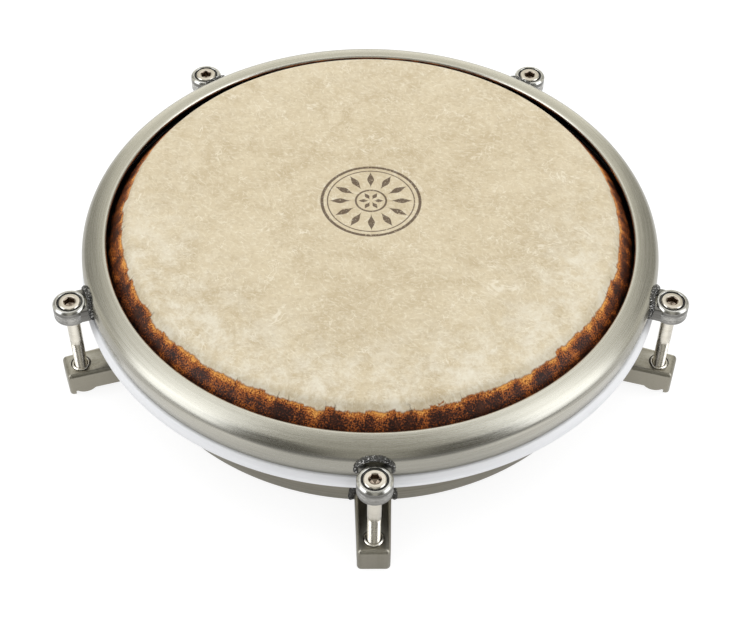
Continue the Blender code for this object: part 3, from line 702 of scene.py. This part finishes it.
def brushed_plate(name, light, dark, inside, roughness=0.3, lines=5000.0, wear=(0.8, 0.78, 0.72),
                  depth=0.000012, anisotropic=0.35, dull=0.25, metallic=1.0):
    """Satin plate: brushed lines, soft bands, worn edges, and another tone and dullness where shade is 1:
    painted shade in hollows on most pieces, and the polished chamfer on the ear.

    On the rings the gloss is drawn out across the brushed lines, which run round the drum.
    """
    material, sheet, shader, position = start_material(name, Metallic=metallic, Anisotropic=anisotropic,
                                                       Anisotropic_Rotation=0.25)
    brushed = sheet.effect("brushed lines", Position=position, Across=sheet.value("across"),
                           Lines_per_metre=lines)
    grain = sheet.effect("grain", Position=position, Grains_per_metre=2200.0)["Grain"]
    worn = sheet.effect("edge wear", Position=position, Edge=sheet.value("edge"))["Wear"]
    dust = sheet.effect("dust", Position=position, Amount=0.5)["Dust"]
    shade = sheet.value("shade")
    tone = sheet.plus(sheet.times(brushed["Lines"], 0.5), sheet.times(brushed["Bands"], 0.5))
    colour = sheet.mix(sheet.times(worn, 0.6), sheet.mix(tone, dark, light), wear)
    # Where shade is 1 the colour becomes inside: painted shade on the rim, hoop, arm, screw and nut, and the
    # polished chamfer on the ear.
    colour = sheet.mix(shade, colour, inside)
    rough = sheet.plus(roughness, sheet.times(brushed["Lines"], 0.10), sheet.times(dust, 0.12))
    rough = sheet.minus(rough, sheet.times(worn, 0.08))
    rough = sheet.calc("ADD", rough, sheet.times(shade, dull), clamp=True)
    finish(sheet, shader, colour, rough, sheet.plus(brushed["Lines"], sheet.times(grain, 0.25)), depth)
    if anisotropic:
        round_drum = sheet.node("Tangent", direction_type="RADIAL", axis="Z").outputs[0]
        sheet.feed(shader.inputs["Tangent"], round_drum)
    return material


def cream_top(sheet, position, down):
    """The colour of the skin's top: mottled cream with pale fibres and creases, a rubbed outer part and
    the rosette. Returns the colour and the fibres.
    """
    clouds = sheet.step(sheet.noise(position, 26.0, 6.0, 0.7, 0.6), 0.3, 0.7)
    blotches = sheet.step(sheet.noise(position, 110.0, 5.0, 0.75, 0.8), 0.35, 0.68)
    freckles = sheet.step(sheet.noise(position, 420.0, 3.0, 0.7), 0.52, 0.70)
    cream = sheet.mix(clouds, (0.50, 0.405, 0.255), (0.63, 0.535, 0.365))
    cream = sheet.mix(sheet.times(blotches, 0.55), cream, (0.70, 0.61, 0.435))
    cream = sheet.mix(sheet.times(freckles, 0.34), cream, (0.42, 0.33, 0.20))
    sway = sheet.stretch(sheet.noise(position, 18.0, 1.0, out=1), 0.02, 0.02, 0.0)
    bent = sheet.vector("ADD", position, sway)
    slanted = sheet.node("VectorRotate", {"Vector": bent, "Angle": 0.8}).outputs[0]

    def strokes(way, across, along, low, high):
        return sheet.step(sheet.noise(sheet.stretch(way, across, along, 1.0), 1.0, 4.0, 0.7), low, high)

    fibres = sheet.most(strokes(bent, 200.0, 620.0, 0.54, 0.66), strokes(bent, 600.0, 190.0, 0.56, 0.68),
                        strokes(slanted, 180.0, 560.0, 0.54, 0.66))
    cream = sheet.mix(sheet.times(fibres, 0.5), cream, (0.80, 0.735, 0.58))
    swirl = sheet.calc("ABSOLUTE", sheet.minus(sheet.noise(position, 34.0, 4.0, 0.6, 0.9), 0.5))
    creases = sheet.times(sheet.step(swirl, 0.011, 0.002),
                          sheet.step(sheet.noise(position, 70.0), 0.48, 0.60))
    cream = sheet.mix(sheet.times(creases, 0.55), cream, (0.84, 0.78, 0.64))
    rubbed = sheet.step(sheet.noise(position, 75.0, 7.0, 0.8, 0.25), 0.38, 0.68)
    reach = sheet.vector("LENGTH", sheet.stretch(position, 1.0, 1.0, 0.0), out=1)
    outer = sheet.times(sheet.step(reach, 0.080, 0.140, 0.08, 0.75),
                        sheet.step(sheet.parts(position)[1], 0.05, -0.06, 0.2, 1.0))
    cream = sheet.mix(sheet.times(rubbed, outer), cream, (0.80, 0.755, 0.63))
    ink = sheet.effect("rosette", Position=position)["Ink"]
    on_top = sheet.step(down, 0.002, -0.002)
    return sheet.mix(sheet.times(ink, on_top, 0.86), cream, (0.055, 0.026, 0.014)), fibres


def collar_burn_and_shade(sheet, position, down):
    """The colour of the skin's collar: burnt brown that darkens on its way down, partly as burn and partly as
    painted shade, with specks and painted shade in the pleats' creases.

    Returns the colour, the ragged depth below the skin's bend, and the thin dark lines of painted crease shade
    that run down.
    """
    shallow = sheet.stretch(position, 1.0, 1.0, 0.35)
    ragged = sheet.swing(sheet.noise(shallow, 65.0, 5.0, 0.6, 0.3), 0.007)
    fine_rag = sheet.swing(sheet.noise(shallow, 420.0, 4.0, 0.7), 0.003)
    level = sheet.vector("NORMALIZE", sheet.stretch(position, 1.0, 1.0, 0.0))
    wobble = sheet.stretch(sheet.noise(position, 260.0, out=1), 0.0026, 0.0026, 0.0)
    upright = sheet.vector("ADD", sheet.stretch(level, 0.15, 0.15, 0.0), wobble)
    cells = {"Vector": upright, "Scale": 62.0, "Randomness": 1.0}
    scallops = sheet.node("TexVoronoi", cells, feature="DISTANCE_TO_EDGE").outputs["Distance"]
    tongues = sheet.swing(sheet.parts(sheet.node("TexVoronoi", cells).outputs["Color"])[0], 0.0026)
    depth = sheet.plus(down, ragged, fine_rag, tongues)
    gate = sheet.step(sheet.noise(position, 48.0, 1.0), 0.47, 0.56)
    narrow = sheet.step(down, 0.0035, 0.017, 0.003, 0.020)
    # Painted crease shade: thin dark lines along the pleats' edges, from a little below the bend.
    crease_shade = sheet.times(sheet.step(sheet.minus(scallops, narrow), 0.012, -0.012), gate,
                         sheet.step(down, 0.0035, 0.0055))
    # Painted crease shade: darker near the pleats' edges, lighter in their middles.
    pleats = sheet.step(scallops, 0.0, 0.30, 0.40, -0.25)
    patches = sheet.swing(sheet.noise(shallow, 130.0, 3.0, 0.6), 2.6)
    specks = sheet.swing(sheet.noise(position, 1150.0, 2.0, 0.7), 5.5)
    # shadow sums random patches, painted crease shade in the pleats, and a darkening down the collar that is
    # partly burn and partly painted shade.
    shadow = sheet.plus(patches, pleats, sheet.step(depth, 0.0070, 0.0150, -0.80, 0.75))
    dark = sheet.plus(shadow, sheet.times(specks, 0.75))
    burnt_and_shaded = sheet.mix(sheet.step(dark, -0.9, 0.0), (0.86, 0.40, 0.085), (0.44, 0.120, 0.022))
    burnt_and_shaded = sheet.mix(sheet.step(dark, 0.0, 0.9), burnt_and_shaded, (0.12, 0.029, 0.010))
    dots = sheet.plus(sheet.times(shadow, 0.4), sheet.times(specks, 0.7))
    burnt_and_shaded = sheet.mix(sheet.step(dots, 0.05, 0.60), burnt_and_shaded, (0.022, 0.008, 0.005))
    # Painted shade: the collar turns near-black at its bottom, down in the gap under the rim.
    return sheet.mix(sheet.step(depth, 0.0190, 0.0230), burnt_and_shaded, (0.006, 0.004, 0.003)), depth, crease_shade


def skin_material():
    """Natural skin: mottled cream on top, and a burnt collar below a ragged boundary with a darker line. The
    collar's darkening down into the rim's gap and in its creases is painted shade.
    """
    material, sheet, shader, position = start_material("mottled skin", Specular_IOR_Level=0.25)
    down = sheet.value("shade")
    cream, fibres = cream_top(sheet, position, down)
    burnt_and_shaded, depth, crease_shade = collar_burn_and_shade(sheet, position, down)
    edge_line = sheet.times(sheet.step(depth, 0.0074, 0.0082), sheet.step(depth, 0.0094, 0.0084))
    colour = sheet.mix(sheet.step(depth, 0.0079, 0.0086), cream, burnt_and_shaded)
    colour = sheet.mix(sheet.times(edge_line, 0.6), colour, (0.27, 0.10, 0.035))
    # Painted crease shade: the thin dark lines down the pleats.
    colour = sheet.mix(sheet.times(crease_shade, 0.75), colour, (0.060, 0.019, 0.008))
    speckle = sheet.noise(position, 900.0, 3.0, 0.75)
    grain = sheet.effect("grain", Position=position, Grains_per_metre=1600.0)["Grain"]
    rough = sheet.plus(0.46, sheet.times(grain, 0.12))
    rough = sheet.minus(rough, sheet.times(sheet.step(depth, 0.009, 0.016), 0.10))
    height = sheet.plus(sheet.times(grain, 0.4), sheet.times(fibres, 0.5), sheet.times(speckle, 0.6))
    finish(sheet, shader, colour, rough, height, 0.00006)
    return material


def weld_material():
    """Dark weld metal with bright flecks on the ripples."""
    material, sheet, shader, position = start_material("weld metal", Metallic=1.0)
    grain = sheet.effect("grain", Position=position, Grains_per_metre=1500.0)
    flecks = sheet.step(sheet.noise(position, 850.0, 2.0, 0.7), 0.57, 0.61)
    colour = sheet.mix(grain["Patches"], (0.045, 0.045, 0.045), (0.16, 0.155, 0.145))
    colour = sheet.mix(sheet.times(flecks, 0.9), colour, (0.93, 0.92, 0.90))
    rough = sheet.minus(0.42, sheet.times(flecks, 0.25))
    finish(sheet, shader, colour, rough, sheet.plus(grain["Grain"], flecks), 0.00035)
    return material


def plastic_material():
    """Black moulded plastic with a fine grain and a little dust."""
    material, sheet, shader, position = start_material("black moulded plastic")
    grain = sheet.effect("grain", Position=position, Grains_per_metre=3000.0)["Grain"]
    dust = sheet.effect("dust", Position=position, Amount=0.35)["Dust"]
    worn = sheet.effect("edge wear", Position=position, Edge=sheet.value("edge"), Amount=0.4)["Wear"]
    colour = sheet.mix(dust, (0.010, 0.010, 0.010), (0.10, 0.095, 0.09))
    colour = sheet.mix(worn, colour, (0.06, 0.06, 0.06))
    finish(sheet, shader, colour, sheet.plus(0.42, sheet.times(grain, 0.15)), grain, 0.00002)
    return material


def make_materials():
    """Every finish of the drum, by name."""
    return {
        # Each plate's third colour shows where shade is 1: the near-black and dark ones are painted shade, and
        # the ear's pale one is its polished chamfer.
        "rim": brushed_plate("satin rim plate", (0.47, 0.453, 0.395), (0.385, 0.37, 0.318),
                             (0.010, 0.009, 0.008), 0.20, wear=(0.58, 0.56, 0.50), depth=0.000008,
                             anisotropic=0.45),
        "shell": brushed_plate("warm shell plate", (0.42, 0.395, 0.33), (0.26, 0.24, 0.195),
                               (0.10, 0.09, 0.075)),
        "hoop": brushed_plate("bright hoop", (0.94, 0.945, 0.96), (0.84, 0.85, 0.875), (0.02, 0.02, 0.02),
                              0.50, 2500.0, wear=(0.95, 0.95, 0.95), metallic=0.1),
        "ear": brushed_plate("grey ear steel", (0.21, 0.205, 0.19), (0.135, 0.13, 0.12), (0.56, 0.55, 0.51),
                             0.26, wear=(0.60, 0.59, 0.56), anisotropic=0.0, dull=-0.16),
        "arm": brushed_plate("warm arm plate", (0.30, 0.28, 0.23), (0.23, 0.213, 0.17), (0.08, 0.074, 0.064),
                             0.30, 1200.0, wear=(0.52, 0.50, 0.44), anisotropic=0.0),
        "screw": brushed_plate("bright screw plate", (0.82, 0.78, 0.69), (0.67, 0.63, 0.54),
                               (0.25, 0.20, 0.155), 0.22, 3000.0, wear=(0.84, 0.81, 0.74), anisotropic=0.0,
                               dull=-0.05),
        "weld": weld_material(), "plastic": plastic_material(), "skin": skin_material()}


# The drum

def place(name, patches, material, body, slot, node):
    """Make a piece that stands for a CAD node and, where a body is given, rides on it."""
    thing = build(name, patches, material)
    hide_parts(node)
    if body:
        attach(thing, body)
    return thing


def make_drum(finishes):
    """The four rings and the pieces of the five lugs. The rim's back and the hoop's channel are painted
    near-black as painted shade.
    """
    place("brushed_shell", [turned(shell_section(), RING_STEPS)], finishes["shell"], "shell", "shell_steel",
          "shell_ring")
    face = rim_face()
    section = rim_section(face)
    # Painted shade: the rim's back, from its foot up to its lip, takes the plate's near-black colour and a
    # duller gloss.
    inside = np.zeros(len(section))
    foot_end, lip_start = len(face) + 8, len(section) - 4
    inside[foot_end:lip_start] = 1
    place("tension_rim", [turned(section, RING_STEPS, inside)], finishes["rim"], "rim", "rim_steel", "rim")
    # Painted shade: the hoop's channel, inside channel_edge, takes the plate's near-black colour.
    hoop, channel_edge = hoop_section(), 0.172
    inside = hoop[:, 0] < channel_edge
    place("skin_hoop", [turned(hoop, RING_STEPS, inside)], finishes["hoop"], "rim", "hoop_aluminium",
          "flesh_hoop")
    skin = place("drum_head", drum_head(), finishes["skin"], None, "head_skin", "head_film")
    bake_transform(skin)
    shapes = [("ear", ear(), "ear", "rim", "eye_steel", "eye"),
              ("ear_weld", ear_weld(), "weld", "rim", "weld_steel", "rim_weld"),
              ("head_cup", head_cup(), "plastic", "rim", "cup_plastic", "cup"),
              ("tuning_screw", tuning_screw(), "screw", "bolt", "screw_zinc", "bolt"),
              ("side_arm", side_arm(), "arm", "shell", "arm_steel", "arm"),
              ("arm_bead", arm_bead(), "weld", "shell", "weld_steel", "arm_weld"),
              ("barrel_nut", barrel_nut(), "screw", "shell", "screw_zinc", "nut")]
    for lug in range(LUGS):
        for name, patches, look, body, slot, node in shapes:
            rider = f"bolt_{lug + 1}" if body == "bolt" else body
            place(f"{name}_{lug + 1}", at_lug(patches, lug), finishes[look], rider, slot, f"{node}_{lug + 1}")


# Floor, light and camera

def seen_directly(sheet):
    """Where white is shown, 1 for the camera's rays and for those through glass, and all kinds of ray."""
    rays = sheet.node("LightPath").outputs
    return sheet.calc("ADD", rays["Is Camera Ray"], rays["Is Transmission Ray"], clamp=True), rays


def add_floor():
    """A pale floor that shows white to the camera and keeps the drum's shadow.

    In the metal it is brighter to the drum's sides, dimmer again beyond the side lugs, and dark from a little
    way before the drum. Under the drum its glow, in the metal and as light, is dimmed as a painted shadow.
    """
    mesh = bpy.data.meshes.new("floor")
    mesh.from_pydata([(-6, -6, 0), (6, -6, 0), (6, 6, 0), (-6, 6, 0)], [], [(0, 1, 2, 3)])
    floor = bpy.data.objects.new("floor", mesh)
    bpy.context.scene.collection.objects.link(floor)
    material, sheet, shader, position = start_material("pale floor", Roughness=1.0, Specular_IOR_Level=0.0)
    seen, rays = seen_directly(sheet)
    sheet.feed(shader.inputs["Base Color"], (0.30, 0.30, 0.30))
    sheet.feed(shader.inputs["Emission Color"], (1, 1, 1))
    x, y, _ = sheet.parts(position)
    aside = sheet.calc("ABSOLUTE", x)
    sides = sheet.times(sheet.step(aside, 0.08, 0.18, 0.60, 0.95), sheet.step(aside, 0.185, 0.225, 1.0, 0.62))
    mirrored = sheet.times(rays["Is Glossy Ray"], sides, sheet.step(y, -0.36, -0.235))
    around = sheet.plus(mirrored, sheet.times(rays["Is Diffuse Ray"], 0.80))
    # Painted shadow: the glow seen in the metal and the light it gives are dimmed under the drum.
    around = sheet.times(around, sheet.step(sheet.distance(x, y), 0.12, 0.19, 0.4, 1.0))
    sheet.feed(shader.inputs["Emission Strength"], sheet.plus(sheet.times(seen, 0.84), around))
    mesh.materials.append(material)


def add_world():
    """White to the camera, and grey as light.

    In the metal it is bright at the rear, with a brighter band low down, dark at the front, and has a large
    white panel on each side: the panel fills the wedge between two upright planes, and is dimmer near the
    floor and towards the rear. A dimmer curtain stands behind each panel, and straight ahead the front has
    a narrow paler opening.
    """
    world = bpy.data.worlds.new("studio")
    bpy.context.scene.world = world
    world.use_nodes = True
    sheet = Sheet(world.node_tree)
    seen, rays = seen_directly(sheet)
    x, y, z = sheet.parts(sheet.node("TexCoord").outputs["Generated"])
    side = sheet.calc("ABSOLUTE", x)
    mirrored = sheet.joined(side, y, 0.0)

    def ahead_of(plane):
        return sheet.vector("DOT_PRODUCT", mirrored, plane, out=1)

    front = sheet.ramp(y, -0.3, -1.0, 0.0, 0.04)
    backdrop = sheet.plus(sheet.minus(sheet.ramp(y, -0.3, 0.9, 0.12, 1.15), front), sheet.times(side, 0.20))
    lean = sheet.calc("DIVIDE", y, side)
    curtain = sheet.times(sheet.step(lean, 0.48, 0.60), sheet.step(lean, 2.4, 1.6),
                          sheet.step(z, 0.76, 0.62, 0.0, 0.55))
    horizon = sheet.times(sheet.step(y, 0.75, 0.95), sheet.step(z, 0.30, 0.05, 0.0, 0.7))
    opening = sheet.times(sheet.step(side, 0.32, 0.14), sheet.step(y, 0.15, -0.20, 0.0, 0.40))
    backdrop = sheet.plus(sheet.times(backdrop, sheet.minus(1.0, curtain)), horizon, opening)
    panel = sheet.times(sheet.step(ahead_of((0.927, 0.55, 0)), 0.29, 0.40),
                        sheet.step(ahead_of((0.625, 0.781, 0)), 0.68, 0.50),
                        sheet.step(z, 0.0, 0.5, 0.7, 1.0), sheet.step(y, 0.1, 0.45, 2.2, 0.95))
    both = sheet.plus(backdrop, panel)
    strength = sheet.most(seen, sheet.times(rays["Is Glossy Ray"], both),
                          sheet.times(rays["Is Diffuse Ray"], 0.70))
    tint = sheet.mix(sheet.calc("DIVIDE", panel, both), (1, 0.985, 0.90), (0.97, 1, 1.06))
    background = world.node_tree.nodes["Background"]
    sheet.feed(background.inputs["Color"], sheet.mix(rays["Is Glossy Ray"], (1, 1, 1), tint))
    sheet.feed(background.inputs["Strength"], strength)


def add_lamp(name, side):
    """A long soft box that faces the drum from one side, its lower end forward and its higher end behind."""
    low_end, high_end = Vector((side * 1.42, -0.30, 0.95)), Vector((side * 0.25, 0.80, 1.46))
    lamp = bpy.data.lights.new(name, "AREA")
    lamp.shape, lamp.size, lamp.size_y, lamp.energy = "RECTANGLE", (high_end - low_end).length, 0.5, 7
    middle = (low_end + high_end) / 2
    facing = (middle - Vector((0, 0, 0.08))).normalized()
    along = high_end - low_end
    along = (along - along.dot(facing) * facing).normalized()
    matrix = Matrix((along, facing.cross(along), facing)).transposed().to_4x4()
    matrix.translation = middle
    thing = bpy.data.objects.new(name, lamp)
    thing.matrix_world = matrix
    thing.visible_glossy = False
    bpy.context.scene.collection.objects.link(thing)


def add_camera():
    """The camera, found by fitting the photograph's circles: a lift, a roll and a small turn about Z."""
    lift, roll, turn = map(math.radians, (47.692, 1.1881, -1.7243))
    aim, distance = Vector((0.00511, -0.06516, 0.0723)), 0.9319
    back = Vector((0, -math.cos(lift), math.sin(lift)))
    right, up = Vector((1, 0, 0)), Vector((0, math.sin(lift), math.cos(lift)))
    across = right * math.cos(roll) + up * math.sin(roll)
    upward = up * math.cos(roll) - right * math.sin(roll)
    matrix = Matrix((across, upward, back)).transposed().to_4x4()
    matrix.translation = aim + distance * back
    camera = bpy.data.cameras.new("photo_camera")
    camera.lens, camera.sensor_width, camera.sensor_fit = 75.34, 36, "HORIZONTAL"
    thing = bpy.data.objects.new("photo_camera", camera)
    thing.matrix_world = Matrix.Rotation(turn, 4, "Z") @ matrix
    bpy.context.scene.collection.objects.link(thing)
    bpy.context.scene.camera = thing


make_effects()
make_drum(make_materials())
add_floor()
add_world()
add_lamp("left_box", -1)
add_lamp("right_box", 1)
add_camera()
bpy.context.scene.view_settings.view_transform = "Standard"
